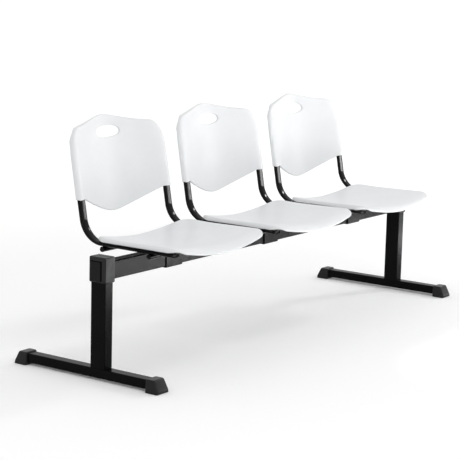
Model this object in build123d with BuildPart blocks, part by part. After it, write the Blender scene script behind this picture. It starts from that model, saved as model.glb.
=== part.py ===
"""Beam bench: moulded seat and back shells on bent tube frames, clamped to one beam on two legs.

X runs along the beam, -Y is the front and the floor is at Z = 0. All sizes are millimetres.
Heights are measured from the floor, and "station" means a distance behind the beam's centre line.
"""

import os
from math import cos, exp, radians, sin, sqrt, tan

from build123d import *

os.makedirs("parts", exist_ok=True)

# Layout
place_count = 3
place_gap = 76.0
leg_margin = 108.0
foot_front_reach = 256.0
foot_rear_reach = 354.0

# Beam, uprights and feet
beam_height = 60.0
beam_depth = 40.0
beam_wall = 2.5
beam_underside = 330.0
upright_depth = 60.0
upright_width = 40.0
upright_wall = 2.0
foot_height = 32.0
foot_wall = 2.0
tube_corner_radius = 3.5

# Foot caps
cap_length = 52.0
cap_lean = 17.0
cap_draft = 4.0
cap_sole = 8.0
cap_cover = 4.0
cap_side_wall = 11.0
cap_toe_wall = 7.0
cap_corner_radius = 6.0
cap_top_edge = 3.0

# Joint housings, their panels and bolts
housing_wall = 4.5
housing_roof = 4.0
housing_above_beam = 18.0
housing_below_beam = 6.0
housing_edge = 3.0
moulding_gap = 0.3
window_depth = 46.0
window_height = 66.0
window_shift = 4.0
window_sill = 2.0
panel_side_groove = 6.0
panel_top_groove = 4.0
panel_proud = 1.0
insert_length = 40.0
joint_bolt = 10.0
joint_bolt_head = 16.0
joint_bolt_head_height = 6.0
joint_bolt_spacing = 28.0
joint_bolt_access = 20.0

# Side rails and cross tubes of one place
rail_spacing = 460.0
rail_width = 34.0
rail_thickness = 12.0
rail_wall = 1.5
rail_front_reach = 195.0
rail_corner_station = 178.0
rail_bend_radius = 90.0
rail_lean = 10.4
rail_top_drop = 108.0
cross_tube = 18.0
cross_tube_wall = 1.5
cross_tube_lift = 1.5
cross_tube_station = 98.0
cross_tube_inset = 2.0
plug_lip = 2.0

# Clamp round the beam
clamp_length = 86.0
clamp_shift = -10.0
clamp_wall = 4.0
clamp_flange = 32.0
saddle_thickness = 4.0
clamp_bolt = 8.0
clamp_nut = 13.0
clamp_nut_height = 6.5
hole_clearance = 0.5

# Seat shell
shell_wall = 3.5
seat_rail_gap = 1.5
seat_tube_gap = 1.5
seat_front_overhang = 37.0
seat_rear_gap = 35.0
seat_front_bow = 12.0
seat_rear_bow = 16.0
seat_edge_rise = 17.5
seat_front_lift = 4.0
seat_rear_lift = 4.5
seat_rear_lift_reach = 123.0
seat_front_rise = 8.0
seat_dish_power = 1.75
seat_lip_reach = 48.0
seat_lip_radius = 52.5
seat_edge_radius = 10.0
seat_corner_radius = 48.0
seat_corner_trim = 2.0
seat_flange_gap = 4.2
seat_pad_width = 16.0
seat_pad_length = 30.0
seat_pad_front = 130.0
seat_pad_rear = 55.0

# Back shell
pocket_gap = 0.3
pocket_wall = 4.0
pocket_front_wall = 6.0
back_wall = 4.0
back_corner_rise = 130.0
back_height = 261.5
back_hollow = 54.8
back_lumbar_rise = 98.5
back_lumbar_lean = 9.87
back_lumbar_radius = 1150.0
back_fold_radius = 193.0
back_tip_drop = 66.5
back_tip_radius = 50.0
back_bump = 30.5
back_bump_width = 110.0
back_corner_radius = 75.0
back_taper = 3.5
back_rim_depth = 11.0
back_rim_wall = 4.0
hand_hole_width = 124.0
hand_hole_height = 39.0
hand_hole_drop = 57.5

# Derived places along the bench
rail_x = rail_spacing / 2
rail_end_x = rail_x + rail_width / 2
seat_half = rail_end_x + seat_rail_gap + shell_wall
back_half = rail_end_x + pocket_gap + pocket_wall
cross_tube_length = 2 * (rail_end_x - cross_tube_inset)
place_pitch = 2 * seat_half + place_gap
places = [(number + 1, (number - (place_count - 1) / 2) * place_pitch) for number in range(place_count)]
leg_x = places[-1][1] + seat_half + leg_margin
beam_length = 2 * leg_x - upright_width

# Derived places from front to rear
bench_depth = foot_front_reach + foot_rear_reach
beam_y = (foot_front_reach - foot_rear_reach) / 2
seat_front_station = -rail_front_reach - seat_front_overhang
seat_lip_start = seat_front_station + seat_lip_reach
seat_rear_station = rail_corner_station - seat_rear_gap
seat_rear_lift_start = seat_rear_station - seat_rear_lift_reach

# Derived heights
foot_width = upright_width
foot_bottom = cap_sole
foot_top = foot_bottom + foot_height
beam_top = beam_underside + beam_height
beam_middle = beam_underside + beam_height / 2
housing_top = beam_top + housing_above_beam
housing_bottom = beam_underside - housing_below_beam
upright_top = housing_top - housing_roof
rail_underside = beam_top + cross_tube_lift + cross_tube
rail_middle = rail_underside + rail_thickness / 2
rail_upside = rail_underside + rail_thickness
cross_tube_middle = rail_underside - cross_tube / 2
seat_middle_height = rail_underside + seat_tube_gap + shell_wall
seat_edge_height = rail_upside + seat_edge_rise
seat_flange_bottom = rail_upside + seat_flange_gap
back_corner_height = rail_upside + back_corner_rise
back_tip_height = back_corner_height - back_tip_drop
back_lumbar_height = back_corner_height + back_lumbar_rise
back_top_height = back_corner_height + back_height
hand_hole_centre = back_top_height - hand_hole_drop
rail_top = back_top_height - rail_top_drop

sides = (("left", -1), ("right", 1))
ends = (("front", -1, foot_front_reach), ("rear", 1, foot_rear_reach))


def save(piece, name):
    """Labels a finished piece and writes it to its own file."""
    piece.part.label = name
    export_step(piece.part, f"parts/{name}.step")


def save_at_places(piece, name):
    """Writes a copy of a piece, modelled at the bench's middle, for each place along the beam."""
    for number, x in places:
        with BuildPart() as copy:
            with Locations((x, 0, 0)):
                add(piece.part)
        save(copy, f"{name}_{number}")


def tube_section(width, height, wall):
    """Rectangular tube section with rounded outer corners, centred where it is used."""
    with BuildSketch() as section:
        RectangleRounded(width, height, tube_corner_radius)
        Rectangle(width - 2 * wall, height - 2 * wall, mode=Mode.SUBTRACT)
    return section.sketch


# Beam
with BuildPart() as beam:
    with BuildSketch(Plane.YZ.offset(-beam_length / 2)):
        with Locations((beam_y, beam_middle)):
            add(tube_section(beam_depth, beam_height, beam_wall))
    extrude(amount=beam_length)
save(beam, "beam")

# Legs: upright, foot tube, foot caps, joint housing, panel, insert and bolts
cap_width = foot_width + 2 * cap_side_wall
cap_height = foot_top + cap_cover
cap_socket_depth = cap_length - cap_lean - cap_toe_wall
bolt_heights = (beam_middle - joint_bolt_spacing / 2, beam_middle + joint_bolt_spacing / 2)
for side_name, side in sides:
    leg_plane = Plane(origin=(side * leg_x, 0, 0), x_dir=(0, side, 0), z_dir=(side, 0, 0))
    outer_face = leg_plane.offset(upright_width / 2)
    inner_face = leg_plane.offset(-upright_width / 2)
    bolt_spots = [(side * beam_y, height) for height in bolt_heights]

    with BuildPart() as upright:
        with BuildSketch(Plane.XY.offset(foot_top)):
            with Locations((side * leg_x, beam_y)):
                add(tube_section(upright_width, upright_depth, upright_wall))
        extrude(amount=upright_top - foot_top)
        with BuildSketch(inner_face):
            with Locations(*bolt_spots):
                Circle((joint_bolt + hole_clearance) / 2)
        extrude(amount=upright_wall, mode=Mode.SUBTRACT)
        with BuildSketch(outer_face):
            with Locations((side * beam_y, beam_middle)):
                SlotOverall(joint_bolt_spacing + joint_bolt_access, joint_bolt_access, rotation=90)
        extrude(amount=-upright_wall, mode=Mode.SUBTRACT)
    save(upright, f"upright_{side_name}")

    tube_front = beam_y - foot_front_reach + cap_length - cap_socket_depth
    tube_rear = beam_y + foot_rear_reach - cap_length + cap_socket_depth
    with BuildPart() as foot_tube:
        with BuildSketch(Plane.XZ.offset(-tube_rear)):
            with Locations((side * leg_x, foot_bottom + foot_height / 2)):
                add(tube_section(foot_width, foot_height, foot_wall))
        extrude(amount=tube_rear - tube_front)
    save(foot_tube, f"foot_tube_{side_name}")

    for end_name, end, reach in ends:
        toe = beam_y + end * reach
        mouth = toe - end * cap_length
        crown = toe - end * cap_lean
        with BuildPart() as cap:
            with BuildSketch(leg_plane.offset(-cap_width / 2)):
                with BuildLine():
                    side_view = [(mouth, 0), (toe, 0), (crown, cap_height), (mouth, cap_height)]
                    Polyline(*[(side * y, z) for y, z in side_view], close=True)
                make_face()
            extrude(amount=cap_width)
            with BuildSketch(Plane.XZ):
                with BuildLine():
                    low, high = cap_width / 2, cap_width / 2 - cap_draft
                    front_view = [(-low, 0), (low, 0), (high, cap_height), (-high, cap_height)]
                    Polyline(*[(side * leg_x + x, z) for x, z in front_view], close=True)
                make_face()
            extrude(amount=bench_depth, both=True, mode=Mode.INTERSECT)
            toe_edges = cap.faces().sort_by(Axis.Y)[-1 if end > 0 else 0].edges()
            fillet(toe_edges - toe_edges.filter_by(Axis.X), cap_corner_radius)
            crown_edges = cap.faces().sort_by(Axis.Z)[-1].edges().sort_by(Axis.Y)
            chamfer(crown_edges[1:] if end > 0 else crown_edges[:-1], cap_top_edge)
            with BuildSketch(Plane.XZ.offset(-mouth)):
                with Locations((side * leg_x, foot_bottom + foot_height / 2)):
                    RectangleRounded(foot_width, foot_height, tube_corner_radius)
            extrude(amount=-end * cap_socket_depth, mode=Mode.SUBTRACT)
        save(cap, f"foot_cap_{end_name}_{side_name}")

    housing_width = upright_width + 2 * (moulding_gap + housing_wall)
    housing_depth = upright_depth + 2 * (moulding_gap + housing_wall)
    window_middle = housing_bottom + housing_edge + window_sill + window_height / 2
    panel_depth = window_depth - panel_side_groove
    panel_height = window_height - panel_top_groove
    with BuildPart() as housing:
        with BuildSketch(Plane.XY.offset(housing_bottom)):
            with Locations((side * leg_x, beam_y)):
                Rectangle(housing_width, housing_depth)
        extrude(amount=housing_top - housing_bottom)
        chamfer(housing.edges().filter_by(Axis.Z), housing_edge)
        chamfer(housing.faces().sort_by(Axis.Z)[-1].edges(), housing_edge)
        chamfer(housing.faces().sort_by(Axis.Z)[0].edges(), housing_edge)
        with BuildSketch(Plane.XY.offset(housing_bottom)):
            with Locations((side * leg_x, beam_y)):
                Rectangle(upright_width + 2 * moulding_gap, upright_depth + 2 * moulding_gap)
        extrude(amount=upright_top - housing_bottom, mode=Mode.SUBTRACT)
        with BuildSketch(inner_face):
            with Locations((side * beam_y, beam_middle)):
                Rectangle(beam_depth + 2 * moulding_gap, beam_height + 2 * moulding_gap)
        extrude(amount=-(housing_wall + moulding_gap), mode=Mode.SUBTRACT)
        with BuildSketch(outer_face):
            with Locations((side * (beam_y + window_shift), window_middle)):
                Rectangle(window_depth, window_height)
        extrude(amount=housing_wall + moulding_gap, mode=Mode.SUBTRACT)
    save(housing, f"joint_housing_{side_name}")

    panel_y = beam_y + window_shift + panel_side_groove / 2 - moulding_gap
    panel_z = window_middle - panel_top_groove / 2 + moulding_gap
    with BuildPart() as panel:
        with BuildSketch(outer_face):
            with Locations((side * panel_y, panel_z)):
                Rectangle(panel_depth, panel_height)
        extrude(amount=moulding_gap + housing_wall + panel_proud)
        chamfer(panel.faces().sort_by(Axis.X)[-1 if side > 0 else 0].edges(), panel_proud / 2)
    save(panel, f"joint_panel_{side_name}")

    with BuildPart() as insert:
        with BuildSketch(inner_face):
            with Locations((side * beam_y, beam_middle)):
                Rectangle(beam_depth - 2 * beam_wall, beam_height - 2 * beam_wall)
        extrude(amount=-insert_length)
        with BuildSketch(inner_face):
            with Locations(*bolt_spots):
                Circle((joint_bolt + hole_clearance) / 2)
        extrude(amount=-insert_length, mode=Mode.SUBTRACT)
    save(insert, f"beam_insert_{side_name}")

    with BuildPart() as joint_bolts:
        with BuildSketch(inner_face.offset(upright_wall)):
            with Locations(*bolt_spots):
                RegularPolygon(joint_bolt_head / 2, 6)
        extrude(amount=joint_bolt_head_height)
        with BuildSketch(inner_face.offset(upright_wall)):
            with Locations(*bolt_spots):
                Circle(joint_bolt / 2)
        extrude(amount=-(upright_wall + insert_length))
    save(joint_bolts, f"joint_bolts_{side_name}")


def rail_station(height):
    """Station of the leaning rail's axis at a height."""
    return rail_corner_station + (height - rail_middle) * tan(radians(rail_lean))


# Side rails: a level run under the seat, one bend and a leaning run into the back's pocket.
# The tube is a flat oval, and its bore is drawn with square corners between the round edges.
lean_sine = sin(radians(rail_lean))
lean_cosine = cos(radians(rail_lean))
rail_rise = rail_top - rail_middle
rail_front = beam_y - rail_front_reach
rail_corner = beam_y + rail_corner_station
for side_name, side in sides:
    with BuildPart() as rail:
        with BuildLine() as rail_path:
            FilletPolyline(
                (side * rail_x, rail_front, rail_middle),
                (side * rail_x, rail_corner, rail_middle),
                (side * rail_x, rail_corner + rail_rise * tan(radians(rail_lean)), rail_top),
                radius=rail_bend_radius,
            )
        with BuildSketch(Plane(origin=rail_path.line @ 0, x_dir=(1, 0, 0), z_dir=(0, 1, 0))):
            SlotOverall(rail_width, rail_thickness)
            Rectangle(rail_width - rail_thickness, rail_thickness - 2 * rail_wall, mode=Mode.SUBTRACT)
        sweep(path=rail_path.line)
    save_at_places(rail, f"side_rail_{side_name}")

# Cross tubes: round tubes under the rails
for end_name, end, reach in ends:
    with BuildPart() as cross:
        with BuildSketch(Plane.YZ.offset(-cross_tube_length / 2)):
            with Locations((beam_y + end * cross_tube_station, cross_tube_middle)):
                Circle(cross_tube / 2)
                Circle(cross_tube / 2 - cross_tube_wall, mode=Mode.SUBTRACT)
        extrude(amount=cross_tube_length)
    save_at_places(cross, f"cross_tube_{end_name}")

# Plugs on the open ends of the rails and cross tubes
with BuildPart() as plugs:
    rail_mouth = Plane(origin=(0, rail_front, rail_middle), x_dir=(1, 0, 0), z_dir=(0, -1, 0))
    with BuildSketch(rail_mouth):
        with Locations((-rail_x, 0), (rail_x, 0)):
            SlotOverall(rail_width, rail_thickness)
    extrude(amount=plug_lip)
    cross_spots = [(beam_y + end * cross_tube_station, cross_tube_middle) for end_name, end, reach in ends]
    for side_name, side in sides:
        with BuildSketch(Plane.YZ.offset(side * cross_tube_length / 2)):
            with Locations(*cross_spots):
                Circle(cross_tube / 2 - cross_tube_wall / 2)
        extrude(amount=side * plug_lip)
save_at_places(plugs, "tube_plugs")

# Clamp: a saddle plate over the beam between the cross tubes, a bracket round the beam, and bolts
flange_end = beam_depth / 2 + clamp_wall + clamp_flange
clamp_bolt_y = beam_depth / 2 + clamp_wall + clamp_flange / 2
clamp_spots = [(clamp_shift, beam_y - clamp_bolt_y), (clamp_shift, beam_y + clamp_bolt_y)]
with BuildPart() as clamp:
    with BuildSketch(Plane.YZ.offset(clamp_shift - clamp_length / 2)):
        with Locations((beam_y, beam_top)):
            Rectangle(
                beam_depth + 2 * clamp_wall, beam_height + clamp_wall, align=(Align.CENTER, Align.MAX)
            )
            Rectangle(2 * flange_end, clamp_wall, align=(Align.CENTER, Align.MAX))
            Rectangle(beam_depth, beam_height, align=(Align.CENTER, Align.MAX), mode=Mode.SUBTRACT)
    extrude(amount=clamp_length)
    bends = clamp.edges().filter_by(Axis.X).group_by(Axis.Z)[0]
    fillet(bends, clamp_wall)
    with BuildSketch(Plane.XY.offset(beam_top)):
        with Locations(*clamp_spots):
            Circle((clamp_bolt + hole_clearance) / 2)
    extrude(amount=-clamp_wall, mode=Mode.SUBTRACT)
save_at_places(clamp, "beam_clamp")

with BuildPart() as saddle:
    with BuildSketch(Plane.XY.offset(beam_top)):
        with Locations((clamp_shift, beam_y)):
            Rectangle(clamp_length, 2 * cross_tube_station - cross_tube / 2)
        with Locations(*clamp_spots):
            Circle((clamp_bolt + hole_clearance) / 2, mode=Mode.SUBTRACT)
    extrude(amount=saddle_thickness)
    with BuildSketch(Plane.YZ.offset(clamp_shift)):
        with Locations(*cross_spots):
            Circle(cross_tube / 2)
    extrude(amount=clamp_length, both=True, mode=Mode.SUBTRACT)
save_at_places(saddle, "beam_saddle")

with BuildPart() as clamp_bolts:
    head_plane = Plane.XY.offset(beam_top - clamp_wall)
    with BuildSketch(head_plane):
        with Locations(*clamp_spots):
            RegularPolygon(clamp_nut / 2, 6)
    extrude(amount=-clamp_nut_height)
    with BuildSketch(head_plane):
        with Locations(*clamp_spots):
            Circle(clamp_bolt / 2)
    extrude(amount=clamp_wall + saddle_thickness + clamp_nut_height)
    with BuildSketch(Plane.XY.offset(beam_top + saddle_thickness)):
        with Locations(*clamp_spots):
            RegularPolygon(clamp_nut / 2, 6)
    extrude(amount=clamp_nut_height)
save_at_places(clamp_bolts, "clamp_bolts")


# Seat shell: dished across, a little higher at both ends, with a lip that rolls down at the front.
# Four moulded pads, left standing in its hollow, rest on the rails.
def seat_lip_drop(station):
    """How far the front lip has rolled down at a station: a parabola that starts at the lip."""
    return max(0.0, seat_lip_start - station) ** 2 / (2 * seat_lip_radius)


def seat_surface(x, station):
    """Height of the seat's upper face: a power curve from the dished middle up to the edges."""
    back_share = max(0.0, station - seat_rear_lift_start) / (seat_rear_station - seat_rear_lift_start)
    front_share = max(0.0, station / seat_front_station)
    edge = seat_edge_height + seat_rear_lift * back_share**2 + seat_front_lift * front_share
    middle = seat_middle_height + seat_front_rise * front_share
    share = (abs(x) / (seat_half - seat_edge_radius)) ** seat_dish_power
    return middle + (edge - middle) * share - seat_lip_drop(station)


def seat_row(station, below):
    """Points across the seat's upper face at a station, or a distance below it."""
    crest = seat_half - seat_edge_radius
    return [(share * crest, seat_surface(share * crest, station) - below) for share in seat_shares]


def seat_section(station):
    """Closed section of the seat's outer form at a station: upper face, rolled edges and upright sides."""
    row = seat_row(station, 0)
    crest, crest_height = row[-1]
    edge = seat_half
    shoulder = crest_height - seat_edge_radius
    quarter = sqrt(0.5) * seat_edge_radius
    with BuildSketch(Plane.XZ.offset(-beam_y - station)) as section:
        with BuildLine():
            Spline(*row)
            ThreePointArc(row[-1], (crest + quarter, shoulder + quarter), (edge, shoulder))
            Polyline((edge, shoulder), (edge, seat_floor), (-edge, seat_floor), (-edge, shoulder))
            ThreePointArc((-edge, shoulder), (-crest - quarter, shoulder + quarter), row[0])
        make_face()
    return section.sketch


def seat_hollow_section(station):
    """Closed section of the hollow under the seat at a station, a wall inside the outer form."""
    row = seat_row(station, shell_wall)
    crest, crest_height = row[-1]
    edge = seat_half - shell_wall
    shoulder = crest_height + shell_wall - seat_edge_radius
    with BuildSketch(Plane.XZ.offset(-beam_y - station)) as section:
        with BuildLine():
            Spline(*row)
            Polyline(
                row[-1], (edge, shoulder), (edge, seat_floor), (-edge, seat_floor), (-edge, shoulder), row[0]
            )
        make_face()
    return section.sketch


seat_shares = (-1.0, -0.8, -0.5, 0.0, 0.5, 0.8, 1.0)
seat_steps = 20
seat_step = (seat_rear_station - seat_front_station) / seat_steps
seat_cut_stations = [seat_front_station + step * seat_step for step in range(-1, seat_steps + 2)]
seat_stations = seat_cut_stations[1:-1]
seat_floor = seat_middle_height - seat_lip_radius - 2 * shell_wall
seat_pad_places = (beam_y - seat_pad_front, beam_y + seat_pad_rear)
seat_pads = [(side * rail_x, y) for name, side in sides for y in seat_pad_places]
with BuildPart() as seat_hollow:
    loft(sections=[seat_hollow_section(station) for station in seat_cut_stations])
    with BuildSketch(Plane.XY.offset(rail_upside)):
        with Locations(*seat_pads):
            Rectangle(seat_pad_width, seat_pad_length)
    extrude(amount=seat_edge_height, mode=Mode.SUBTRACT)
with BuildPart() as seat:
    loft(sections=[seat_section(station) for station in seat_stations])
    add(seat_hollow.part, mode=Mode.SUBTRACT)
    with BuildSketch(Plane.XZ.offset(-beam_y - seat_rear_station)):
        with Locations((-seat_half, seat_flange_bottom), (seat_half, seat_flange_bottom)):
            Rectangle(2 * shell_wall + seat_rail_gap, seat_lip_radius * 2, align=(Align.CENTER, Align.MAX))
    extrude(amount=seat_rear_station - seat_front_station, mode=Mode.SUBTRACT)
    with BuildSketch(Plane.XY.offset(seat_middle_height - seat_lip_radius)):
        with BuildLine():
            trim = seat_half + seat_corner_trim
            front = beam_y + seat_front_station
            rear = beam_y + seat_rear_station
            front_corner = front + seat_front_bow
            rear_corner = rear - seat_rear_bow
            ThreePointArc((-trim, front_corner), (0, front), (trim, front_corner))
            Line((trim, front_corner), (trim, rear_corner))
            ThreePointArc((trim, rear_corner), (0, rear), (-trim, rear_corner))
            Line((-trim, rear_corner), (-trim, front_corner))
        make_face()
        fillet(vertices(), seat_corner_radius)
    extrude(amount=seat_lip_radius + seat_edge_height, mode=Mode.INTERSECT)
save_at_places(seat, "seat_shell")


# Back shell: swept forward at its edges, which roll round the rails and close into pockets
def fold(x, radius):
    """A hyperbola: rounded by the radius at its middle, then straighter and straighter to both sides."""
    return sqrt(x**2 + radius**2) - radius


def back_sweep(height):
    """Station of the back's middle line, and how far the pockets stand in front of it."""
    rise = height - back_lumbar_height
    pocket_depth = rail_thickness / 2 + pocket_gap + pocket_front_wall
    lumbar = rail_station(back_lumbar_height) - pocket_depth + back_hollow
    middle = lumbar + rise * tan(radians(back_lumbar_lean)) + rise**2 / (2 * back_lumbar_radius)
    return middle, middle - rail_station(height) + pocket_depth


def back_station(x, height):
    """Station of the back's front face: a hyperbola across, on a middle line with a lumbar curve."""
    middle, sweep_depth = back_sweep(height)
    return middle - sweep_depth * fold(x, back_fold_radius) / fold(rail_x, back_fold_radius)


def back_row(half, height, behind):
    """Points across the back at a height, a distance behind its front face."""
    return [(share * half, beam_y + back_station(share * half, height) + behind) for share in back_shares]


def back_section(height):
    """Level section of the back: its front face, its edges rolled round the rails and its rear face."""
    front = back_row(rail_x - pocket_wall, height, 0)
    rear = back_row(rail_x - rail_width, height, back_wall)
    axis = beam_y + rail_station(height)
    heel = axis + rail_thickness / 2 + pocket_gap + pocket_wall
    heel_x = rail_end_x - rail_thickness / 2
    edge_x = back_half - back_taper * (height - back_corner_height) / back_height
    edge_slope = (back_station(rail_x - pocket_wall, height) - back_station(rail_x, height)) / pocket_wall
    with BuildSketch(Plane.XY.offset(height)) as section:
        with BuildLine():
            Spline(*front)
            Spline(front[-1], (edge_x, axis), (heel_x, heel), tangents=((1, -edge_slope), (-1, 0)))
            Line((heel_x, heel), rear[-1])
            Spline(*rear)
            Line(rear[0], (-heel_x, heel))
            Spline((-heel_x, heel), (-edge_x, axis), front[0], tangents=((-1, 0), (1, edge_slope)))
        make_face()
    return section.sketch


def rim_section(height):
    """Level section of the deeper form that the turned-back rims are cut from."""
    front = back_row(rail_x - pocket_wall, height, back_wall / 2)
    rear = back_row(rail_x - pocket_wall, height, back_rim_depth)
    with BuildSketch(Plane.XY.offset(height)) as section:
        with BuildLine():
            Spline(*front)
            Line(front[-1], rear[-1])
            Spline(*rear)
            Line(rear[0], front[0])
        make_face()
    return section.sketch


def back_top(x):
    """Height of the back's upper edge: a bell-shaped rise between level shoulders."""
    return back_top_height - back_bump * (1 - exp(-((x / back_bump_width) ** 2)))


def back_outline(inset):
    """Outline of the back seen from the front, drawn in by an inset."""
    half = back_half + pocket_wall - inset
    radius = back_corner_radius - inset
    corner_x = half - radius
    shoulder = back_top(corner_x) - inset
    low = back_corner_height + inset
    pocket_x = rail_x - rail_width / 2
    flank = back_tip_drop / fold(pocket_x, back_tip_radius)
    lower_x = [share * pocket_x for share in reversed(back_shares)]
    lower = [(x, back_tip_height + inset + flank * fold(x, back_tip_radius)) for x in lower_x]
    with BuildSketch(Plane.XZ) as outline:
        with BuildLine():
            Spline(
                *[(share * corner_x, back_top(share * corner_x) - inset) for share in back_shares],
                tangents=((1, 0), (1, 0)),
            )
            TangentArc((corner_x, shoulder), (half, shoulder - radius), tangent=(1, 0))
            Polyline((half, shoulder - radius), (half, low), (pocket_x, low))
            Spline(*lower)
            Polyline((-pocket_x, low), (-half, low), (-half, shoulder - radius))
            TangentArc((-half, shoulder - radius), (-corner_x, shoulder), tangent=(0, 1))
        make_face()
    return outline.sketch


back_shares = (-1.0, -0.75, -0.4, 0.0, 0.4, 0.75, 1.0)
back_levels = [
    back_tip_height - back_wall,
    back_corner_height,
    back_lumbar_height,
    hand_hole_centre,
    back_top_height + back_wall,
]
with BuildPart() as back_rims:
    loft(sections=[rim_section(height) for height in back_levels])
    with BuildSketch(Plane.XZ):
        add(back_outline(0))
        add(back_outline(back_rim_wall), mode=Mode.SUBTRACT)
    extrude(amount=bench_depth, both=True, mode=Mode.INTERSECT)

with BuildPart() as back:
    loft(sections=[back_section(height) for height in back_levels])
    extrude(back_outline(0), amount=bench_depth, both=True, mode=Mode.INTERSECT)
    add(back_rims.part)
    with BuildSketch(Plane.XZ):
        with Locations((0, hand_hole_centre)):
            Ellipse(hand_hole_width / 2, hand_hole_height / 2)
    extrude(amount=bench_depth, both=True, mode=Mode.SUBTRACT)
    bore_start = back_corner_height - rail_thickness
    bore_plane = Plane(
        origin=(0, beam_y + rail_station(bore_start), bore_start),
        x_dir=(1, 0, 0),
        z_dir=(0, lean_sine, lean_cosine),
    )
    with BuildSketch(bore_plane):
        with Locations((-rail_x, 0), (rail_x, 0)):
            SlotOverall(rail_width + 2 * pocket_gap, rail_thickness + 2 * pocket_gap)
    extrude(amount=(rail_top - bore_start) / lean_cosine + pocket_gap, mode=Mode.SUBTRACT)
save_at_places(back, "back_shell")
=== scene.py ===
# %% [markdown]
# # A three-place beam bench
#
# This bench is three white moulded seats and backs on black bent tubes, clamped to one steel beam that
# stands on two T-shaped legs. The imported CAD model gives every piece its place. The straight tubes and
# plates stay as they came and get a better finish. The moulded shells, bent rails, foot caps and screws are
# built again here as smooth surfaces, because their rounded edges carry most of the look.

import bpy
import numpy as np
from mathutils import Matrix, Vector


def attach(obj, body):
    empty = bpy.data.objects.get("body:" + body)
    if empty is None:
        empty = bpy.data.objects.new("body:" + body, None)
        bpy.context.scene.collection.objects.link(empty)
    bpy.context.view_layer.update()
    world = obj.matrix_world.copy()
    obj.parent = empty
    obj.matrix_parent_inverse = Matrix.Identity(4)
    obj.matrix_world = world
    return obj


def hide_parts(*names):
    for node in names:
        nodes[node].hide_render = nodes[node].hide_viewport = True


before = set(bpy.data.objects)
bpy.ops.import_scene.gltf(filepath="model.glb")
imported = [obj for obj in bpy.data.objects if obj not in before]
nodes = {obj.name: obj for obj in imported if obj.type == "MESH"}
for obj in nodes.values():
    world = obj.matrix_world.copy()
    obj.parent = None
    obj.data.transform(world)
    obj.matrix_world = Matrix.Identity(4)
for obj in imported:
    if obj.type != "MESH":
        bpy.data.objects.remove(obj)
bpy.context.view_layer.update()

# %% [markdown]
# ## Camera
#
# The photograph was taken from the front left with a long lens, a little above the seats. A camera could be
# aimed with a Track To constraint, but its slight roll would be lost. Here its three axes are worked out
# from yaw, pitch and roll and written straight into the camera's matrix.

# %% Camera
yaw, pitch, roll = np.radians([54.6243, -10.1335, -1.4534])
forward = np.array([np.cos(pitch) * np.sin(yaw), np.cos(pitch) * np.cos(yaw), np.sin(pitch)])
level = np.array([np.cos(yaw), -np.sin(yaw), 0.0])
below = np.cross(forward, level)
right = np.cos(roll) * level + np.sin(roll) * below
down = np.cos(roll) * below - np.sin(roll) * level
lens = bpy.data.cameras.new("photo_camera")
lens.sensor_width = 36.0
lens.lens = 126.24
lens.clip_end = 200.0
camera = bpy.data.objects.new("photo_camera", lens)
bpy.context.scene.collection.objects.link(camera)
axes = Matrix([right, -down, -forward]).transposed().to_4x4()
camera.matrix_world = Matrix.Translation((-4.8308, -3.3095, 1.4074)) @ axes
bpy.context.scene.camera = camera
print("camera looks along", np.round(forward, 3))

# %% [markdown]
# ## From a grid of points to a mesh
#
# Every new piece below is a grid of points worked out by a formula: rows along it, columns around it. One
# helper numbers the four corners of each cell, so no vertex is placed by hand. Open ends are closed with a
# fan of triangles round one middle point. The signed volume of the result tells whether the faces point
# outwards.

# %% Grid helpers
MM = 0.001


def grid_cells(rows, columns, ring):
    """Corners of each cell. The last column joins the first, and in a ring the last row joins the first."""
    row = np.arange(rows if ring else rows - 1)[:, None]
    column = np.arange(columns)[None, :]
    after = (column + 1) % columns
    above = (row + 1) % rows
    here, there = row * columns, above * columns
    corners = [here + column, here + after, there + after, there + column]
    return np.stack(corners, axis=-1).reshape(-1, 4)


def fan(start, columns, middle):
    """Triangles from each pair of neighbours in a ring of points to one middle point."""
    here = np.arange(columns)
    return np.stack([start + here, start + (here + 1) % columns, np.full(columns, middle)], axis=-1)


def closed_skin(points, ring=False):
    """A closed skin over points of shape rows x columns x 3, with a fan at each end unless it is a ring."""
    rows, columns = points.shape[:2]
    spots = points.reshape(-1, 3)
    faces = grid_cells(rows, columns, ring).tolist()
    if not ring:
        spots = np.vstack([spots, points[0].mean(axis=0), points[-1].mean(axis=0)])
        faces += fan(0, columns, len(spots) - 2)[:, ::-1].tolist()
        faces += fan((rows - 1) * columns, columns, len(spots) - 1).tolist()
    return spots, faces


def facing_out(spots, faces):
    """The faces, turned round where the volume under them comes out negative."""
    corners = spots[np.array([face[:3] for face in faces])]
    last = spots[np.array([face[-1] for face in faces])]
    volume = np.einsum("ij,ij->i", corners[:, 0], np.cross(corners[:, 1], corners[:, 2])).sum()
    volume += np.einsum("ij,ij->i", corners[:, 0], np.cross(corners[:, 2], last)).sum()
    return faces if volume > 0 else [face[::-1] for face in faces]


def joined(skins):
    """Several closed skins as one list of points and one list of faces."""
    spots, faces, start = [], [], 0
    for skin_spots, skin_faces in skins:
        turned = facing_out(skin_spots, skin_faces)
        faces += [[start + corner for corner in face] for face in turned]
        spots.append(skin_spots)
        start += len(skin_spots)
    return np.vstack(spots), faces


def add_piece(name, skins, slot, replaced=()):
    """Puts skins, given in millimetres, into one smooth mesh that rides on the bench."""
    spots, faces = joined(skins)
    mesh = bpy.data.meshes.new(name)
    mesh.from_pydata((spots * MM).tolist(), [], faces)
    mesh.materials.append(finishes[slot])
    mesh.shade_smooth()
    piece = bpy.data.objects.new(name, mesh)
    bpy.context.scene.collection.objects.link(piece)
    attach(piece, "root")
    if replaced:
        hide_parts(*replaced)
    print(name, len(spots), "points")
    return piece


# %% [markdown]
# ## Finishes
#
# The bench has white polypropylene, black powder coat, a glossier black on the bent tubes, charcoal plastic
# caps, and a little zinc and aluminium. One builder makes them all: two close colours mixed by a slow
# noise, a roughness that wanders, and a fine bump. All of it reads Object coordinates, so a pattern stays
# with its piece.

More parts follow.
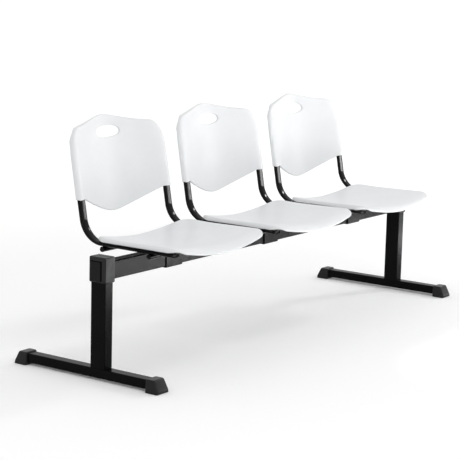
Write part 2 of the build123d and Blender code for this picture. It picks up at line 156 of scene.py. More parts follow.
# %% Finish builder
finishes = {}


def add_noise(tree, scale, detail, coordinates):
    """A noise on the object's own coordinates, with its scale in cells per metre."""
    noise = tree.nodes.new("ShaderNodeTexNoise")
    noise.inputs["Scale"].default_value = scale
    noise.inputs["Detail"].default_value = detail
    tree.links.new(coordinates, noise.inputs["Vector"])
    return noise.outputs["Fac"]


def add_range(tree, value, low, high):
    """Spreads the middle of a noise, 0.3 to 0.7, over a range of values."""
    spread = tree.nodes.new("ShaderNodeMapRange")
    spread.inputs["From Min"].default_value = 0.3
    spread.inputs["From Max"].default_value = 0.7
    spread.inputs["To Min"].default_value = low
    spread.inputs["To Max"].default_value = high
    tree.links.new(value, spread.inputs["Value"])
    return spread.outputs["Result"]


def add_finish(slot, dark, light, rough, grain_scale, grain_height, specular=0.5, metal=0.0):
    """A finish whose colour, roughness and bump each follow a noise of their own scale."""
    material = bpy.data.materials.new(slot)
    material.use_nodes = True
    tree = material.node_tree
    shader = tree.nodes["Principled BSDF"]
    shader.inputs["Specular IOR Level"].default_value = specular
    shader.inputs["Metallic"].default_value = metal
    coordinates = tree.nodes.new("ShaderNodeTexCoord").outputs["Object"]
    tone = tree.nodes.new("ShaderNodeMix")
    tone.data_type = "RGBA"
    tone.inputs["A"].default_value = (*dark, 1)
    tone.inputs["B"].default_value = (*light, 1)
    tree.links.new(add_range(tree, add_noise(tree, 9, 3, coordinates), 0, 1), tone.inputs["Factor"])
    tree.links.new(tone.outputs["Result"], shader.inputs["Base Color"])
    wander = add_range(tree, add_noise(tree, 45, 4, coordinates), rough[0], rough[1])
    tree.links.new(wander, shader.inputs["Roughness"])
    bump = tree.nodes.new("ShaderNodeBump")
    bump.inputs["Strength"].default_value = 1.0
    bump.inputs["Distance"].default_value = grain_height * MM
    tree.links.new(add_noise(tree, grain_scale, 2, coordinates), bump.inputs["Height"])
    tree.links.new(bump.outputs["Normal"], shader.inputs["Normal"])
    finishes[slot] = material
    return material


# %% [markdown]
# The white shells are cool and satin, with a fine moulded grain. The powder coat is nearly black, and its
# orange-peel bump breaks up the light. The bent tubes are smoother, so long highlights run along them.

# %% The bench's finishes
add_finish("white_shell", (0.765, 0.78, 0.795), (0.795, 0.805, 0.815), (0.36, 0.46), 1400, 0.02)
add_finish("frame_steel", (0.0015, 0.0015, 0.0016), (0.003, 0.003, 0.0032), (0.20, 0.28), 420, 0.05, 0.05)
add_finish("rail_steel", (0.0015, 0.0015, 0.0016), (0.003, 0.003, 0.0032), (0.11, 0.15), 420, 0.01, 0.10)
add_finish("charcoal_plastic", (0.008, 0.008, 0.0085), (0.014, 0.014, 0.0145), (0.30, 0.40), 1200, 0.05, 0.17)
add_finish("panel_plastic", (0.005, 0.005, 0.0055), (0.009, 0.009, 0.0095), (0.40, 0.50), 1200, 0.04, 0.10)
add_finish("insert_metal", (0.50, 0.51, 0.52), (0.60, 0.61, 0.62), (0.32, 0.48), 300, 0.03, metal=1.0)
add_finish("fastener_steel", (0.42, 0.42, 0.43), (0.56, 0.56, 0.57), (0.26, 0.40), 500, 0.02, metal=1.0)
slot_of = {
    node: slot
    for slot, starts in {
        "frame_steel": ("beam_clamp", "beam_saddle", "upright", "foot_tube"),
        "rail_steel": ("side_rail", "cross_tube"),
        "white_shell": ("seat_shell", "back_shell"),
        "charcoal_plastic": ("foot_cap", "joint_housing"),
        "panel_plastic": ("joint_panel", "tube_plugs"),
        "insert_metal": ("beam_insert",),
        "fastener_steel": ("joint_bolts", "clamp_bolts"),
    }.items()
    for node in nodes
    if node.startswith(starts)
}
slot_of["beam"] = "frame_steel"
for name, node in nodes.items():
    node.data.materials.clear()
    node.data.materials.append(finishes[slot_of[name]])
print(len(finishes), "finishes on", len(slot_of), "nodes")

# %% [markdown]
# ## Back shells
#
# A back is a shield-shaped sheet, hollow towards the sitter, whose side edges roll round the rails. It has
# a hand hole under its bell-shaped crown and a rim turned back along its edges, deepest at the upper
# corners. It could be modelled by hand and subdivided, but a formula keeps the three backs alike and in the
# CAD's place. First come the places where the back's front and rear faces lie, then its outline, then one
# grid that runs from the hole over the front face, round the edge and back along the rear face to the hole:
# a ring both ways, so nothing is left open.

# %% Where the back's faces lie
BEAM_Y = -49.0
RAIL_X, RAIL_Z = 230.0, 415.5
RAIL_KNEE = 178.0
RAIL_LEAN = np.radians(10.4)
BACK_LOW, BACK_HIGH = 551.5, 813.0
CORNER_X, CORNER_Z = 190.0, 694.0
HOLLOW = 193.0


def fold(x, radius):
    """A hyperbola: rounded by the radius in its middle, straighter and straighter to both sides."""
    return np.sqrt(x**2 + radius**2) - radius


def smooth_step(start, stop, value):
    """0 before start, 1 after stop, and an S between them."""
    share = np.clip((value - start) / (stop - start), 0, 1)
    return share**2 * (3 - 2 * share)


def rail_station(z):
    """How far behind the beam the leaning rail's axis is at a height."""
    return RAIL_KNEE + (z - RAIL_Z) * np.tan(RAIL_LEAN)


def back_station(x, z):
    """The front face without its rolled edges: a lumbar curve up the middle, a hyperbola across it."""
    rise = z - 650.0
    middle = 263.5 + 0.174 * rise + rise**2 / 2300
    pocket = rail_station(z) - 12.3
    return middle - (middle - pocket) * fold(x, HOLLOW) / fold(RAIL_X, HOLLOW)


def back_side(z):
    """Half the back's width at a height, a little narrower towards the top."""
    return 251.3 - 3.5 * (z - BACK_LOW) / (BACK_HIGH - BACK_LOW)


def quarter_drop(value, start, stop):
    """A quarter ellipse: 0 up to start, then falling to 1 where it stands upright at stop."""
    share = np.clip((value - start) / (stop - start), 0, 1)
    return 1 - np.sqrt(1 - share**2)


def crown(x):
    """The upper edge: a bell curve with a power below 2, for a tighter top and straighter flanks."""
    return 781 + 32 * np.exp(-((np.abs(x) / 122) ** 1.6))


def out_to_side(x, z):
    """How far out a point lies, 1 at the edge, and how much of that is sideways: all, below the corner."""
    out = np.clip((np.abs(x) - CORNER_X) / (back_side(z) - CORNER_X), 0, None)
    reach = np.hypot(out, np.clip((z - CORNER_Z) / (crown(CORNER_X) - CORNER_Z), 0, None))
    return reach, out / np.maximum(reach, 0.001)


def back_front(x, z):
    """The front face: its sides roll back to the rail's axis, a quarter ellipse that fades at the corner."""
    reach, sideways = out_to_side(x, z)
    roll_depth = rail_station(z) - 0.5 - back_station(back_side(z), z)
    return back_station(x, z) + roll_depth * sideways * quarter_drop(reach, 0.31, 1)


def back_rear(x, z):
    """The rear face: 4 mm behind the front, swelling behind the rails, then rolled forward to their axis."""
    reach, sideways = out_to_side(x, z)
    swell = rail_station(z) + 6.3 - back_station(x, z)
    share = smooth_step(0, 0.6, sideways)
    swelled = back_station(x, z) + 4 + swell * share * smooth_step(0, 0.7, reach)
    return swelled - 9.8 * smooth_step(0.85, 1, sideways) * quarter_drop(reach, 0.79, 1)


print("back's middle is", round(float(back_station(0, 650)), 1), "mm behind the beam")

# %% The back's outline
OUTLINE_POINTS = 420


def spread_evenly(points, count, corner_weight):
    """Evenly spaced points along a closed line, with more where it turns: a radian counts as so many mm."""
    step = np.roll(points, -1, axis=0) - points
    heading = np.arctan2(step[:, 1], step[:, 0])
    turn = np.abs((np.roll(heading, -1) - heading + np.pi) % (2 * np.pi) - np.pi)
    travelled = np.concatenate([[0], np.cumsum(np.hypot(step[:, 0], step[:, 1]) + corner_weight * turn)])
    wanted = np.arange(count) / count * travelled[-1]
    loop = np.vstack([points, points[:1]])
    return np.column_stack([np.interp(wanted, travelled, loop[:, axis]) for axis in (0, 1)])


def mirrored(half):
    """A closed line from its right half, which starts and ends on the middle line."""
    return np.vstack([half, half[-2:0:-1] * [-1, 1]])


def outward(outline):
    """Unit normals of a closed clockwise line, from the neighbours on both sides."""
    along = np.roll(outline, -1, axis=0) - np.roll(outline, 1, axis=0)
    along /= np.linalg.norm(along, axis=1, keepdims=True)
    return np.column_stack([-along[:, 1], along[:, 0]])


def back_half_outline():
    """From the crown: a bell curve, a quarter ellipse, the side, a small corner, a hyperbola to the tip."""
    top_x = np.linspace(0, CORNER_X, 80)
    top = np.column_stack([top_x, crown(top_x)])
    turn = np.linspace(np.pi / 2, 0, 40)[1:, None]
    wide, high = back_side(CORNER_Z) - CORNER_X, crown(CORNER_X) - CORNER_Z
    corner = [CORNER_X, CORNER_Z] + np.hstack([np.cos(turn) * wide, np.sin(turn) * high])
    small = np.linspace(0, -np.pi / 2, 14)[:, None]
    foot_radius = 8.0
    foot_z = BACK_LOW + foot_radius
    foot = [back_side(foot_z) - foot_radius, foot_z] + foot_radius * np.hstack([np.cos(small), np.sin(small)])
    tip_z, tip_radius, low_end = 485.0, 50.0, 213.0
    low_x = np.linspace(low_end, 0, 90)
    low_z = tip_z + (BACK_LOW - tip_z) * fold(low_x, tip_radius) / fold(low_end, tip_radius)
    low = np.column_stack([low_x, low_z])
    return np.vstack([top, corner, foot, low])


back_line = spread_evenly(mirrored(back_half_outline()), OUTLINE_POINTS, 40)
back_normal = outward(back_line)
print("back outline", np.round(np.ptp(back_line, axis=0), 1), "mm")

# %% The back's skin
HOLE_Z, HOLE_POWER = 755.5, 2.3


def eased(count):
    """From 1 down to 0, the steps getting shorter towards 0, as on a quarter circle."""
    return 1 - np.sin(np.linspace(0, np.pi / 2, count))


def hole_ring(outside):
    """The hand hole: an ellipse made a little fuller by its power of 2.3, drawn larger by a margin."""
    angle = np.arctan2(back_line[:, 1] - HOLE_Z, back_line[:, 0])[None, :]
    wide, high = 62 + outside[:, None], 19.5 + outside[:, None]
    across, upright = np.abs(np.cos(angle) / wide), np.abs(np.sin(angle) / high)
    reach = (across**HOLE_POWER + upright**HOLE_POWER) ** (-1 / HOLE_POWER)
    return np.stack([reach * np.cos(angle), HOLE_Z + reach * np.sin(angle)], axis=-1)


def inset_rows(inset):
    """The outline, drawn in by each inset along its normals."""
    return back_line[None] - inset[:, None, None] * back_normal[None]


def between(inner, outer, share):
    """Rows that go straight from an inner to an outer line."""
    return inner[None] + share[:, None, None] * (outer - inner)[None]


def back_skin():
    """Front rows from hole to edge, a rounded edge, rear rows back to the hole, and the hole's own rim."""
    side_share = smooth_step(212, 246, np.abs(back_line[:, 0]))[None, :]
    front_round = 3.0 * (1 - side_share) + 0.4
    share = np.concatenate([np.linspace(0, 0.85, 22), 1 - 0.15 * eased(12)[1:]])

    hole_edge = 2.5 * eased(7)[::-1]
    rows = [hole_ring(hole_edge)]
    behind = [2.5 * quarter_drop(2.5 - hole_edge, 0, 2.5)[:, None] + back_front(*np.moveaxis(rows[0], -1, 0))]

    field = between(hole_ring(np.array([2.5]))[0], inset_rows(np.array([5.0]))[0], share)[1:]
    edge_inset = 5 * eased(10)[1:]
    edge = inset_rows(edge_inset)
    rows += [field, edge]
    behind += [back_front(*np.moveaxis(field, -1, 0))]
    edge_front = back_front(*np.moveaxis(edge, -1, 0))
    behind += [edge_front + front_round * quarter_drop(front_round - edge_inset[:, None], 0, front_round)]

    lip_inset = np.concatenate([1.5 * eased(6)[::-1], [2.4, 3.3, 3.7, 4.1, 4.5, 4.9, 6.0]])
    lip = inset_rows(lip_inset)
    lip_inset = lip_inset[:, None]
    lip_x, lip_z = np.moveaxis(lip, -1, 0)
    upper = smooth_step(600, 694, lip_z)
    deeper = 9 * np.clip(np.abs(lip_x) / 160, 0, 1) ** 2
    fading = 16 * smooth_step(200, 228, np.abs(lip_x))
    rim = back_station(lip_x, lip_z) + 11 + upper * deeper - (1 - upper) * fading
    rear = back_rear(lip_x, lip_z)
    crest = np.maximum(rim, rear)
    rear_round = 1.5 * (1 - side_share) + 0.2
    lip_y = rear + (crest - rear) * (1 - smooth_step(3.3, 4.9, lip_inset))
    rows += [lip]
    behind += [lip_y - rear_round * quarter_drop(rear_round - lip_inset, 0, rear_round)]

    field = between(hole_ring(np.array([6.0]))[0], lip[-1], share[::-1])[1:]
    hole_lip = np.concatenate([[4.8, 4.4, 4.0, 3.6, 3.2, 2.2], 1.4 * eased(6)])
    hole_rows = hole_ring(hole_lip)
    rows += [field, hole_rows]
    behind += [back_rear(*np.moveaxis(field, -1, 0))]
    raised = 4 * (1 - smooth_step(3.2, 4.8, hole_lip)) - 1.4 * quarter_drop(1.4 - hole_lip, 0, 1.4)
    behind += [back_rear(*np.moveaxis(hole_rows, -1, 0)) + raised[:, None]]

    flat = np.concatenate(rows)
    return np.stack([flat[..., 0], BEAM_Y + np.concatenate(behind), flat[..., 1]], axis=-1)


back_points = back_skin()
place_x = [-580.0, 0.0, 580.0]
for number, x in enumerate(place_x, 1):
    moved = closed_skin(back_points + [x, 0, 0], ring=True)
    add_piece(f"moulded_back_{number}", [moved], "white_shell", [f"back_shell_{number}"])

# %% [markdown]
# ## Seat shells
#
# A seat is a shallow dish: high along its sides, lower in its middle, with a waterfall lip at the front and
# a short flange turned down over the rails. The grid runs like the rings on a drum: from the middle of the
# upper face out to the edge, over the rolled edge, under the flange and back below to the middle.

# %% The seat's upper face and outline
SEAT_HALF, SEAT_CORNER = 252.0, 48.0
SEAT_REAR, SEAT_FRONT = 143.0, -232.0


def seat_height(x, station):
    """A power curve from the dished middle up to the edges, less the lip, which falls away as a parabola."""
    rear_share = np.clip((station - 20) / (SEAT_REAR - 20), 0, None)
    front_share = np.clip(station / SEAT_FRONT, 0, None)
    edge = 439 + 4.5 * rear_share**2 + 4 * front_share
    middle = 414.5 + 8 * front_share
    lip = np.clip(-184 - station, 0, None)
    share = (np.abs(x) / 242) ** 1.75
    return middle + (edge - middle) * share - lip**2 / (2 * 52.5)


def bowed_corner(bow, turns, end):
    """One end of the outline: a wide arc that bows out by so much, and a corner arc tangent to it."""
    straight = SEAT_HALF - SEAT_CORNER
    radius = (SEAT_HALF**2 + bow**2) / (2 * bow)
    rise = np.sqrt((radius - SEAT_CORNER) ** 2 - straight**2) - radius
    tangent = np.arctan2(straight, rise + radius)
    wide = np.linspace(0, tangent, 50)
    arc = np.column_stack([radius * np.sin(wide), radius * (np.cos(wide) - 1)])
    turn = np.linspace(tangent, np.pi / 2, turns)[1:]
    corner = [straight, rise] + SEAT_CORNER * np.column_stack([np.sin(turn), np.cos(turn)])
    return np.vstack([arc, corner]) * [1, end]


seat_rear_line = [0, SEAT_REAR] + bowed_corner(16, 24, 1)
seat_front_line = [0, SEAT_FRONT] + bowed_corner(12, 24, -1)
seat_half_outline = np.vstack([seat_rear_line, seat_front_line[::-1]])
seat_line = spread_evenly(mirrored(seat_half_outline), OUTLINE_POINTS, 60)
seat_normal = outward(seat_line)
print("seat outline", np.round(np.ptp(seat_line, axis=0), 1), "mm")

# %% The seat's skin
SEAT_SHEET = 3.5


def bezier(start, start_pull, end_pull, end, share):
    """A cubic curve from start to end that leaves and arrives along its two pulls."""
    t = share[:, None]
    leaving = start * (1 - t) ** 3 + 3 * start_pull * t * (1 - t) ** 2
    return leaving + 3 * end_pull * t**2 * (1 - t) + end * t**3


def seat_inset(inset):
    """The seat's outline drawn in by each inset; an inset may differ from point to point."""
    return seat_line[None] - inset[..., None] * seat_normal[None]


def seat_on(inset):
    """Height of the upper face at an inset from the outline."""
    return seat_height(*np.moveaxis(seat_inset(inset), -1, 0))


def seat_skin():
    """Rings from the middle out over the upper face, the rolled edge and the flange, and back underneath."""
    around = seat_normal**2
    side = around[:, 0]
    front = around[:, 1] * (seat_normal[:, 1] < 0)
    rear = around[:, 1] * (seat_normal[:, 1] > 0)
    turn = (10 * side + 1.7 * front + 4 * rear)[None, :]
    crest, edge = seat_on(turn), seat_on(0 * turn)
    slope = crest - seat_on(turn + 1)
    shoulder = crest - turn + np.minimum(slope * turn, 0)
    bottom = side * np.minimum(425.7, shoulder - 1.5) + front * (edge - 3.5) + rear * (edge - 8)

    middle = np.broadcast_to([0.0, -45.0], seat_line.shape)
    share = np.linspace(0, 1, 40)[1:]
    upper = between(middle, seat_inset(np.full((1, OUTLINE_POINTS), 16.0))[0], share)
    rows, heights = [upper], [seat_height(*np.moveaxis(upper, -1, 0))]

    def add_rim(inset, height):
        rows.append(seat_inset(inset))
        heights.append(height)

    near = 16 + (turn - 16) * np.linspace(0, 1, 7)[1:, None]
    add_rim(near, seat_on(near))
    roll_share = np.linspace(0, 1, 11)[1:]
    pull = 0.55 * turn
    roll_inset = bezier(turn, turn - pull, 0 * turn, 0 * turn, roll_share)
    shoulder_pull = shoulder + 0.55 * (crest - shoulder)
    roll_height = bezier(crest, crest + slope * pull, shoulder_pull, shoulder, roll_share)
    add_rim(roll_inset, roll_height)
    lower = np.array([1.0, 0.3, 0.0, 0.0, 0.3, 1.0])[:, None]
    under = np.array([0.0, 0.3, 1.0, 2.5, 3.2, 3.5])[:, None] + 0 * turn
    add_rim(under, bottom + lower)
    inner = np.maximum(turn + 3, 6.0)
    ceiling = seat_on(inner) - SEAT_SHEET
    start = bottom + 1
    up_inset = bezier(3.5 + 0 * turn, 3.5 + 0 * turn, 0.5 * (3.5 + inner), inner, roll_share)
    up_height = bezier(start, 0.4 * start + 0.6 * ceiling, ceiling, ceiling, roll_share)
    add_rim(up_inset, up_height)
    deep = between(middle, seat_inset(np.full((1, OUTLINE_POINTS), 18.0))[0], share[::-1])
    rows.append(deep)
    heights.append(seat_height(*np.moveaxis(deep, -1, 0)) - SEAT_SHEET)

    flat = np.concatenate(rows)
    return np.stack([flat[..., 0], BEAM_Y + flat[..., 1], np.concatenate(heights)], axis=-1)


seat_points = seat_skin()
print("seat skin", seat_points.shape, "lowest", round(float(seat_points[..., 2].min()), 1))

# %% [markdown]
# Under each seat four moulded pads rest on the rails. A pad is a small block with rounded edges: a rounded
# rectangle carried upwards, drawn in at both ends.

# %% Rounded blocks and seat pads


def rounded_ring(half_x, half_y, radius, steps=7):
    """A rounded rectangle, corner after corner, each a quarter circle."""
    quarter = np.linspace(0, np.pi / 2, steps)
    turn = np.concatenate([quarter + corner * np.pi / 2 for corner in range(4)])
    sign_x = np.repeat([1, -1, -1, 1], steps)
    sign_y = np.repeat([1, 1, -1, -1], steps)
    x = sign_x * (half_x - radius) + radius * np.cos(turn)
    y = sign_y * (half_y - radius) + radius * np.sin(turn)
    return np.column_stack([x, y])


def rounded_block(half_x, half_y, low, high, radius, edge):
    """A block whose upright edges have one radius and whose upper and lower edges another."""
    drawn = edge * eased(5)[::-1]
    insets = np.concatenate([drawn[::-1], drawn])
    rise = edge - np.sqrt(np.maximum(edge**2 - (edge - drawn) ** 2, 0))
    heights = np.concatenate([low + rise[::-1], high - rise])
    order = np.argsort(heights, kind="stable")
    rings = [
        rounded_ring(half_x - inset, half_y - inset, max(radius - inset, 0.2))
        for inset in insets[order]
    ]
    level = np.repeat(heights[order], len(rings[0])).reshape(len(rings), -1)
    return np.concatenate([np.array(rings), level[..., None]], axis=-1)


pads = []
for station, top in ((-130, 437.6), (55, 435.5)):
    pad = rounded_block(8, 15, 421.5, top, 3, 0.8)
    pads += [pad + [side * RAIL_X, BEAM_Y + station, 0] for side in (-1, 1)]
for number, x in enumerate(place_x, 1):
    skins = [closed_skin(skin + [x, 0, 0]) for skin in [seat_points, *pads]]
    add_piece(f"moulded_seat_{number}", skins, "white_shell", [f"seat_shell_{number}"])

# %% [markdown]
# ## Bent rails
#
# Each side rail is one length of oval tube: level under the seat, one bend, then leaning into the back. Its
# crowned faces draw a lamp's reflection out into a narrow streak. A curve object with a bevel could draw
# the rail, but the oval has to keep its broad side level all the way. So the oval is carried along the
# path, with one of its axes always across the bench and the other square to the path.

# %% Rails
RAIL_END_Y, RAIL_TOP = -244.0, 705.0
RAIL_WIDTH, RAIL_THICKNESS = 34, 12
RAIL_BEND = 90


def rail_path():
    """A level run, an arc and a leaning run, as points and directions in the Y-Z plane."""
    knee_y = BEAM_Y + RAIL_KNEE
    turn = np.pi / 2 - RAIL_LEAN
    tangent = RAIL_BEND * np.tan(turn / 2)
    level_y = np.linspace(RAIL_END_Y, knee_y - tangent, 12)
    angle = np.linspace(0, turn, 40)[1:-1]
    rise = np.linspace(tangent, (RAIL_TOP - RAIL_Z) / np.cos(RAIL_LEAN), 14)
    bend = RAIL_BEND * np.column_stack([np.sin(angle), -np.cos(angle)])
    run = [np.column_stack([level_y, np.full(12, RAIL_Z)])]
    run += [[knee_y - tangent, RAIL_Z + RAIL_BEND] + bend]
    run += [[knee_y, RAIL_Z] + rise[:, None] * [np.sin(RAIL_LEAN), np.cos(RAIL_LEAN)]]
    heading = np.concatenate([np.zeros(12), angle, np.full(14, turn)])
    return np.vstack(run), np.column_stack([np.cos(heading), np.sin(heading)])


def oval_ring(width, thickness, power=2.8, steps=44):
    """An ellipse made a little fuller by its power: cosine and sine, each raised to 2 over that power."""
    turn = np.linspace(0, 2 * np.pi, steps, endpoint=False)
    wide, thick = np.cos(turn), np.sin(turn)
    x = width / 2 * np.sign(wide) * np.abs(wide) ** (2 / power)
    return np.column_stack([x, thickness / 2 * np.sign(thick) * np.abs(thick) ** (2 / power)])


def carried(ring, path, heading):
    """A ring carried along a path in the Y-Z plane, its first axis across, its second square to the path."""
    square = np.column_stack([-heading[:, 1], heading[:, 0]])
    across = np.broadcast_to(ring[None, :, 0], (len(path), len(ring)))
    lifted = path[:, None, :] + ring[None, :, 1:2] * square[:, None, :]
    return np.concatenate([across[..., None], lifted], axis=-1)


rail = carried(oval_ring(RAIL_WIDTH, RAIL_THICKNESS), *rail_path())
for number, x in enumerate(place_x, 1):
    for side_name, side in (("left", -RAIL_X), ("right", RAIL_X)):
        name = f"side_rail_{side_name}_{number}"
        add_piece(f"bent_{name}", [closed_skin(rail + [x + side, 0, 0])], "rail_steel", [name])

# %% [markdown]
# ## Plugs and foot caps
#
# The open tube ends carry black plugs with rounded lips. The foot caps are wedges: wide and long at the
# floor, drawn in and leaning back towards the top, with soft edges. Both are rings carried along a short
# way and drawn in at the end.

# %% Plugs


def lip(ring, depth, edge):
    """A plug's lip: a ring pushed out by a depth, its outer edge rounded by drawing the ring in."""
    drawn = np.concatenate([[0.0, 0.0], edge * (1 - eased(6)[1:])])
    rounding = edge * np.sqrt(1 - (1 - eased(6)[1:]) ** 2)
    out = np.concatenate([[0.0, depth - edge], depth - edge + rounding])
    size = np.linalg.norm(ring, axis=1, keepdims=True)
    rows = ring[None] * (1 - drawn[:, None, None] / size[None])
    return rows, np.broadcast_to(out[:, None], rows.shape[:2])


turn = np.linspace(0, 2 * np.pi, 36, endpoint=False)
disc, disc_out = lip(8.25 * np.column_stack([np.cos(turn), np.sin(turn)]), 2.0, 1.2)
oval, oval_out = lip(oval_ring(RAIL_WIDTH, RAIL_THICKNESS), 2.0, 1.2)
plug_skins = []
for side in (-1, 1):
    across = oval[..., 0] + side * RAIL_X
    plug_skins.append(np.stack([across, RAIL_END_Y - oval_out, oval[..., 1] + RAIL_Z], axis=-1))
    for station in (-98, 98):
        out = side * (245 + disc_out)
        plug_skins.append(np.stack([out, disc[..., 0] + BEAM_Y + station, disc[..., 1] + 400.5], axis=-1))
for number, x in enumerate(place_x, 1):
    skins = [closed_skin(skin + [x, 0, 0]) for skin in plug_skins]
    add_piece(f"tube_end_plugs_{number}", skins, "panel_plastic", [f"tube_plugs_{number}"])

# %% Foot caps
CAP_LENGTH, CAP_HEIGHT, CAP_EDGE = 52, 44, 4.0


def cap_rings(toe, end):
    """Rounded rectangles stacked from the sole up, drawn in by the draft, the leaning toe and the edges."""
    edge = CAP_EDGE * (1 - eased(7)[1:])
    shoulder = CAP_HEIGHT - CAP_EDGE
    rounded = shoulder + CAP_EDGE * np.sin(np.arccos(1 - edge / CAP_EDGE))
    heights = np.concatenate([[0.0, 0.3, 1.2], np.linspace(4, shoulder, 10), rounded])
    insets = np.concatenate([[1.2, 0.4, 0.0], np.zeros(10), edge])
    half_x = 31 - 4 * heights / CAP_HEIGHT - insets
    lean = 17 * np.clip((heights - 9) / 35, 0, None)
    half_y = (CAP_LENGTH - lean) / 2 - insets
    middle = toe - end * (lean + (CAP_LENGTH - lean) / 2)
    base = rounded_ring(1.0, 1.0, 0.0, 9)
    corner = rounded_ring(1.0, 1.0, 1.0, 9)
    radius = np.maximum(6.5 - insets, 1.5)[:, None]
    x = base[None, :, 0] * (half_x[:, None] - radius) + corner[None, :, 0] * radius
    y = base[None, :, 1] * (half_y[:, None] - radius) + corner[None, :, 1] * radius
    return np.stack([x, middle[:, None] + y, np.broadcast_to(heights[:, None], x.shape)], axis=-1)


for side_name, x in (("left", -940.0), ("right", 940.0)):
    for end_name, toe, end in (("front", -305.0, -1), ("rear", 305.0, 1)):
        skins = [closed_skin(cap_rings(toe, end) + [x, 0, 0])]
        name = f"foot_cap_{end_name}_{side_name}"
        add_piece(f"moulded_{name}", skins, "charcoal_plastic", [name])

# %% [markdown]
# ## Screws
#
# Each back is screwed to its rails from behind, and each seat from below through the rails. A head could be
# cut with a Boolean, but a height over rings of points does it in one go: a flattened dome, less two
# crossing slots.

# %% Screws


def screw_head(radius, height):
    """A dome over rings of points, sunk where a point is near an axis and not far out: the cross recess."""
    ring = np.linspace(0.06, 1, 18)[:, None] * radius
    turn = np.linspace(0, 2 * np.pi, 48, endpoint=False)[None, :]
    x, y = ring * np.cos(turn), ring * np.sin(turn)
    dome = height * np.sqrt(1 - (ring / radius) ** 2.5) + 0 * turn
    beside = np.minimum(np.abs(x), np.abs(y))
    out = np.maximum(np.abs(x), np.abs(y))
    recess = (1 - smooth_step(0.4, 0.75, beside)) * (1 - smooth_step(1.8, 2.4, out))
    top = np.stack([x, y, dome - 0.45 * height * recess], axis=-1)
    return np.concatenate([top, top[-1:] - [0, 0, 1]])


head = screw_head(4.6, 2.4)
sunk = head[..., 2] - 0.9
lean_sine, lean_cosine = np.sin(RAIL_LEAN), np.cos(RAIL_LEAN)
leaning_head = np.stack([
    head[..., 0],
    head[..., 1] * lean_sine + sunk * lean_cosine,
    head[..., 1] * lean_cosine - sunk * lean_sine,
], axis=-1)
screw_skins = []
for side in (-1, 1):
    for station in (-130, 55):
        screw_skins.append(head * [1, 1, -1] + [side * RAIL_X, BEAM_Y + station, 409.7])
    for z in (590.0, 670.0):
        screw_skins.append(leaning_head + [side * 236, BEAM_Y + back_rear(236.0, z), z])
for number, x in enumerate(place_x, 1):
    skins = [closed_skin(skin + [x, 0, 0]) for skin in screw_skins]
    add_piece(f"shell_screws_{number}", skins, "fastener_steel")

# %% [markdown]
# ## Floor, light and background
#
# A plain pale floor takes the bench's soft shadow. A white world lights the bench from all round and is
# white to the camera, in reflections and through glass. Soft lamps shape it: one at the front left, a low
# strip far off that draws the thin streaks along the rails, and a small one high at the right that puts the
# bright spots on their bends. Two more hang close over the floor in front and light patches of it. The
# front faces of the black steel mirror those patches, which is why they look grey beside the black sides,
# and why the beam is grey at the left and darker further right. The floor glows a little, and more further
# out, so that it runs into the white background without an edge.

# %% Floor


def larger(tree, first, second):
    """The larger of two values, which joins two kinds of light ray into one switch."""
    node = tree.nodes.new("ShaderNodeMath")
    node.operation = "MAXIMUM"
    tree.links.new(first, node.inputs[0])
    tree.links.new(second, node.inputs[1])
    return node.outputs[0]


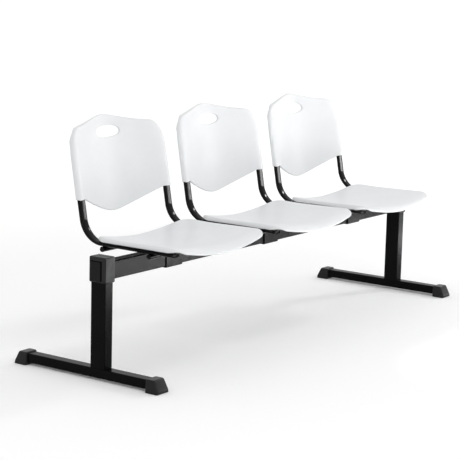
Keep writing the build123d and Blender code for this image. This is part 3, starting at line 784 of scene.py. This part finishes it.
def add_floor():
    """A flat grid of two by two points: pale for the light, white to the eye, glowing more with distance."""
    span = np.array([-40.0, 40.0])
    x, y = np.meshgrid(span, span)
    spots = np.column_stack([x.ravel(), y.ravel(), np.full(4, -0.0005)])
    mesh = bpy.data.meshes.new("floor")
    mesh.from_pydata(spots.tolist(), [], [[0, 1, 3, 2]])
    floor = bpy.data.objects.new("floor", mesh)
    bpy.context.scene.collection.objects.link(floor)
    material = bpy.data.materials.new("pale_floor")
    material.use_nodes = True
    tree = material.node_tree
    shader = tree.nodes["Principled BSDF"]
    shader.inputs["Roughness"].default_value = 0.9
    shader.inputs["Specular IOR Level"].default_value = 0.1
    path = tree.nodes.new("ShaderNodeLightPath")
    seen = larger(tree, path.outputs["Is Camera Ray"], path.outputs["Is Glossy Ray"])
    tone = tree.nodes.new("ShaderNodeMapRange")
    tone.inputs["To Min"].default_value = 0.80
    tone.inputs["To Max"].default_value = 1.0
    tree.links.new(seen, tone.inputs["Value"])
    tree.links.new(tone.outputs["Result"], shader.inputs["Base Color"])
    away = tree.nodes.new("ShaderNodeVectorMath")
    away.operation = "LENGTH"
    tree.links.new(tree.nodes.new("ShaderNodeTexCoord").outputs["Object"], away.inputs[0])
    far = tree.nodes.new("ShaderNodeMapRange")
    far.interpolation_type = "SMOOTHSTEP"
    far.inputs["From Min"].default_value = 1.3
    far.inputs["From Max"].default_value = 4.5
    far.inputs["To Min"].default_value = 0.05
    far.inputs["To Max"].default_value = 0.19
    tree.links.new(away.outputs["Value"], far.inputs["Value"])
    glow = tree.nodes.new("ShaderNodeMath")
    glow.operation = "MULTIPLY"
    tree.links.new(far.outputs["Result"], glow.inputs[0])
    tree.links.new(seen, glow.inputs[1])
    shader.inputs["Emission Color"].default_value = (1, 1, 1, 1)
    tree.links.new(glow.outputs[0], shader.inputs["Emission Strength"])
    mesh.materials.append(material)
    return floor


print("floor", tuple(round(value, 1) for value in add_floor().dimensions))

# %% Lamps and world


def add_lamp(name, place, target, width, height, power):
    """A rectangular area lamp at a place, turned to face a target."""
    light = bpy.data.lights.new(name, "AREA")
    light.shape = "RECTANGLE"
    light.size = width
    light.size_y = height
    light.energy = power
    lamp = bpy.data.objects.new(name, light)
    lamp.location = place
    lamp.rotation_euler = (Vector(target) - Vector(place)).to_track_quat("-Z", "Y").to_euler()
    lamp.visible_camera = False
    bpy.context.scene.collection.objects.link(lamp)
    return lamp


add_lamp("left_softbox", (-3.2, -4.6, 3.0), (0, 0, 0.5), 1.8, 1.4, 36)
add_lamp("low_strip", (9.0, -6.3, 1.2), (0, 0, 0.5), 4.0, 0.5, 110)
add_lamp("side_softbox", (6.2, -1.9, 4.3), (0, 0, 0.5), 0.8, 0.9, 78)
pool_height, pool_spread = 0.5, np.radians(80)
for name, x, y, width, depth, power in (
    ("floor_softbox", 0.7, -1.18, 1.3, 0.4, 33),
    ("floor_softbox_right", 1.95, -0.78, 0.5, 0.3, 12),
):
    pool = add_lamp(name, (x, y, pool_height), (x, y, 0), width, depth, power)
    pool.data.spread = pool_spread

world = bpy.data.worlds.new("studio")
bpy.context.scene.world = world
world.use_nodes = True
tree = world.node_tree
path = tree.nodes.new("ShaderNodeLightPath")
shown = larger(tree, path.outputs["Is Camera Ray"], path.outputs["Is Glossy Ray"])
clear = larger(tree, shown, path.outputs["Is Transmission Ray"])
strength = tree.nodes.new("ShaderNodeMapRange")
strength.inputs["To Min"].default_value = 0.83
strength.inputs["To Max"].default_value = 1.0
tree.links.new(clear, strength.inputs["Value"])
tree.links.new(strength.outputs["Result"], tree.nodes["Background"].inputs["Strength"])
tree.nodes["Background"].inputs["Color"].default_value = (1, 1, 1, 1)
bpy.context.scene.view_settings.view_transform = "Standard"
print("lamps", [lamp.name for lamp in bpy.data.lights])
